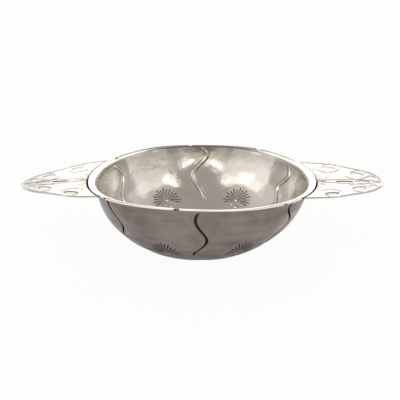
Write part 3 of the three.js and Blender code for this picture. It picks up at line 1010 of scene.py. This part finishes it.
def cast_handle(name, tilt, bent, turned):
    """One casting as a closed mesh: top and underside of the pattern meet along its edges."""
    x, y = pattern.T
    off_side = np.abs(y)
    inset = np.where(pattern_edge, 0.0, np.maximum(handle_inside(x, y), 0.0))
    rounding = np.sqrt(1 - (1 - np.clip(inset / EDGE_ROUND, 0, 1)) ** 2)
    from_root = from_line(x, off_side, root_edge)
    off_moulding = from_mouldings(x, y)
    round_back = (1 - np.clip(off_moulding / RELIEF, 0, 1) ** 2) ** 1.5
    relief = RELIEF_RISE * round_back * np.clip(from_root / RELIEF_STARTS, 0, 1)
    lift = (SHOULDER_TOP - HANDLE_TOP - tilt * (RIM_END - SHOULDER)) / HANDLE_HALF_WIDTH
    twist = bent * np.maximum(x - RIM_END, 0) / HANDLE_REACH
    face = HANDLE_TOP - tilt * (x - RIM_END) + lift * off_side + twist * y
    middle = face - HANDLE_THICKNESS / 2
    top = middle + (HANDLE_THICKNESS / 2 + relief) * rounding
    below = middle - HANDLE_THICKNESS / 2 * rounding
    sign = -1.0 if turned else 1.0

    doubled = ~pattern_edge
    under_of = np.arange(len(pattern))
    under_of[doubled] = len(pattern) + np.arange(doubled.sum())
    points = list(zip(sign * x, sign * y, top))
    points += list(zip(sign * x[doubled], sign * y[doubled], below[doubled]))
    faces = pattern_faces + [[under_of[k] for k in reversed(outline)] for outline in pattern_faces]
    mesh = bpy.data.meshes.new(name)
    mesh.from_pydata(points, [], faces)
    mesh.polygons.foreach_set("use_smooth", np.ones(len(mesh.polygons), dtype=bool))
    mesh.materials.append(handle_silver)

    matted_out = np.clip(1.3 - from_root / MATTED_OUT, 0, 1)
    matted_aside = np.clip(1.3 - off_side / MATTED_ASIDE, 0, 1)
    kept_numbers = {
        "root_off": from_root,
        "hole_off": np.maximum(from_holes(x, y), 0.0),
        "slot_off": np.maximum(from_oval(x, y, *SLOT), 0.0),
        "eye_off": np.maximum(from_oval(x, off_side, *ROOT_EYE_HOLE), 0.0),
        "tip_eye_off": np.maximum(from_oval(x, off_side, *TIP_EYE_HOLE), 0.0),
        "edge_off": from_line(x, off_side, handle_edge),
        "moulding_off": off_moulding,
        "matted": matted_out * matted_aside,
    }
    for label, values in kept_numbers.items():
        both_faces = np.concatenate([values, values[doubled]]).astype(np.float32)
        mesh.attributes.new(label, "FLOAT", "POINT").data.foreach_set("value", both_faces)
    piece = bpy.data.objects.new(name, mesh)
    bpy.context.collection.objects.link(piece)
    return piece


for name, tilt, bent, turned in (
    ("handle_right", RIGHT_TILT, RIGHT_TWIST, False),
    ("handle_left", LEFT_TILT, LEFT_TWIST, True),
):
    handle = cast_handle(name + "_casting", tilt, bent, turned)
    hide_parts(name)
    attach(handle, "root")


# Solder: at each end a dull run of it fills the corner between the overhanging rim and the wall.
# It was flowed in hot, so its face is hollow and a little lumpy, and it thins away to both sides.
SOLDER_STEPS = 120
SOLDER_SECTION = 20
SOLDER_SEAT = 0.9
SOLDER_HOLLOW = 1.5
solder_sizes = {size: bowl_sizes[size] for size in (*SHARED, "Lip Flare")}
solder_sizes |= {"Leg": 0.0016, "Half Turn": 0.6, "Middle": 0.0}
solder_metal = silver(
    "solder_metal",
    bright=(0.6, 0.58, 0.55),
    dark=(0.45, 0.43, 0.4),
    gloss=(0.4, 0.55),
    grain=0.3,
    marks=0.3,
)
tree, keys, dial, finish_input = new_recipe("solder_run", solder_sizes)
flat_sheet, around, path = unit_grid(tree, SOLDER_STEPS, SOLDER_SECTION)
aside = around * 2.0 - 1.0
angle = aside * dial["Half Turn"] + dial["Middle"]
leg = (1.0 - aside * aside) ** 0.5 * dial["Leg"]
section_turn = path * (2 * math.pi)
out = (section_turn.cos() * 0.5 + 0.5) ** SOLDER_HOLLOW * leg
fall = (section_turn.sin() * 0.5 + 0.5) ** SOLDER_HOLLOW * leg
edge_radius = plan_radius(dial, angle, dial["Half Length"], dial["Half Width"])
end_share = edge_radius * angle.cos() / dial["Half Length"]
seat = dial["Height"] - dial["End Dip"] * end_share * end_share - near_sag(dial, angle)
wall = edge_radius - dial["Lip Flare"] * SOLDER_SEAT
shape = point_at(tree, (wall + out) * angle.cos(), (wall + out) * angle.sin(), seat - fall)
end_recipe(tree, bend_to(tree, flat_sheet, shape), finish_input)
for node, middle in (("solder_fillet_right", 0.0), ("solder_fillet_left", math.pi)):
    sizes = solder_sizes | {"Middle": middle}
    run = make_piece(node.replace("fillet", "run"), tree, keys, sizes, solder_metal)
    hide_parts(node)
    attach(run, "root")


# The studio: a sheet of white paper as floor, a wide soft light behind, pale walls with soft boxes
# before them at either hand, dim flanks at the two ends and two low white cards in front.
# The camera looks down on the near long side.
FLOOR_HALF = 6.0
FLOOR_WHITE = 0.95
FLOOR_EVENNESS = 0.95
LAMP_COLOUR = (1.0, 0.985, 0.965)
LAMP_AIM = Vector((0, 0, 0.04))
corners = [(FLOOR_HALF * x, FLOOR_HALF * y, 0.0) for x, y in ((-1, -1), (1, -1), (1, 1), (-1, 1))]
floor_mesh = bpy.data.meshes.new("floor")
floor_mesh.from_pydata(corners, [], [(0, 1, 2, 3)])
floor = bpy.data.objects.new("floor", floor_mesh)
bpy.context.collection.objects.link(floor)
floor_finish = bpy.data.materials.new("floor_white")
floor_finish.use_nodes = True
tree = floor_finish.node_tree
paper = tree.nodes["Principled BSDF"]
paper.inputs["Base Color"].default_value = (FLOOR_WHITE, FLOOR_WHITE, FLOOR_WHITE, 1.0)
paper.inputs["Roughness"].default_value = 0.9
paper.inputs["Specular IOR Level"].default_value = 0.0
# Seen or mirrored, the paper is nearly an even white; the light that it throws on the bowl is its own
white = tree.nodes.new("ShaderNodeEmission")
white.inputs["Strength"].default_value = 1.0
ray = tree.nodes.new("ShaderNodeLightPath")
seen = Field(tree, ray.outputs["Is Camera Ray"]).at_least(Field(tree, ray.outputs["Is Glossy Ray"]))
seen = seen.at_least(Field(tree, ray.outputs["Is Transmission Ray"]))
lit = tree.nodes.new("ShaderNodeMixShader")
tree.links.new((seen * FLOOR_EVENNESS).socket, lit.inputs[0])
tree.links.new(paper.outputs[0], lit.inputs[1])
tree.links.new(white.outputs[0], lit.inputs[2])
tree.links.new(lit.outputs[0], tree.nodes["Material Output"].inputs["Surface"])
floor_mesh.materials.append(floor_finish)

world = bpy.data.worlds.new("studio")
world.use_nodes = True
world.node_tree.nodes["Background"].inputs["Color"].default_value = (0.466, 0.438, 0.4, 1.0)
bpy.context.scene.world = world


def softbox(name, azimuth, elevation, distance, size, glow, roll=0.0):
    """A flat lamp facing the bowl; azimuth 0 is the camera's side, glow is its own brightness."""
    lamp = bpy.data.lights.new(name, "AREA")
    lamp.shape = "RECTANGLE"
    lamp.size, lamp.size_y = size
    lamp.energy = glow * math.pi * size[0] * size[1]
    lamp.color = LAMP_COLOUR
    box = bpy.data.objects.new(name, lamp)
    a, e = math.radians(azimuth), math.radians(elevation)
    place = Vector((math.cos(e) * math.sin(a), -math.cos(e) * math.cos(a), math.sin(e))) * distance
    box.location = place
    facing = (LAMP_AIM - place).to_track_quat("-Z", "Y")
    box.rotation_euler = (facing @ Quaternion((0, 0, 1), math.radians(roll))).to_euler()
    bpy.context.collection.objects.link(box)


softbox("back_box", 180, 23, 1.95, (3.2, 1.0), 0.92)
softbox("right_wall", 54, 22, 1.9, (1.7, 1.45), 0.47)
softbox("right_box", 35, 32, 1.5, (0.42, 0.6), 0.82, 12)
softbox("left_wall", -50, 22, 1.9, (1.7, 1.4), 0.6)
softbox("left_box", -29, 32, 1.5, (0.32, 0.42), 0.57, -10)
softbox("left_side_box", -48, 28, 1.5, (0.4, 0.5), 0.64, -8)
softbox("right_flank", 84, 40, 1.6, (1.5, 0.9), 0.21)
softbox("left_flank", -86, 40, 1.6, (1.4, 0.9), 0.26)
softbox("front_card", 13, 11, 1.35, (0.3, 0.18), 1.9, 8)
softbox("low_card", -11, 12, 1.35, (0.6, 0.24), 1.42, -30)

CAMERA_RISE = math.radians(21.1)
CAMERA_TURN = math.radians(1.4)
RIM_CENTRE = Vector((0.0, 0.0, bowl_sizes["Height"] + rim_sizes["Thickness"]))
# How much of the bowl a picture's pixel covers, and in such pixels how far the rim's middle is above
# and right of the picture's middle, and how far off the camera stands
METRES_PER_PIXEL = 0.000663
RIM_ABOVE = 25.05
RIM_RIGHT = 2.0
CAMERA_FAR = 1500
sideways = Vector((math.cos(CAMERA_TURN), math.sin(CAMERA_TURN), 0.0))
before = Vector((math.sin(CAMERA_TURN), -math.cos(CAMERA_TURN), 0.0))
back = before * math.cos(CAMERA_RISE) + Vector((0, 0, math.sin(CAMERA_RISE)))
upward = Vector((0, 0, math.cos(CAMERA_RISE))) - before * math.sin(CAMERA_RISE)
aim = RIM_CENTRE - upward * (RIM_ABOVE * METRES_PER_PIXEL) - sideways * (RIM_RIGHT * METRES_PER_PIXEL)
lens = bpy.data.cameras.new("camera")
lens.sensor_width = 36.0
lens.lens = 135.0
camera = bpy.data.objects.new("camera", lens)
camera.location = aim + back * (CAMERA_FAR * METRES_PER_PIXEL)
camera.rotation_euler = (-back).to_track_quat("-Z", "Y").to_euler()
bpy.context.collection.objects.link(camera)
bpy.context.scene.camera = camera
bpy.context.scene.view_settings.view_transform = "Standard"
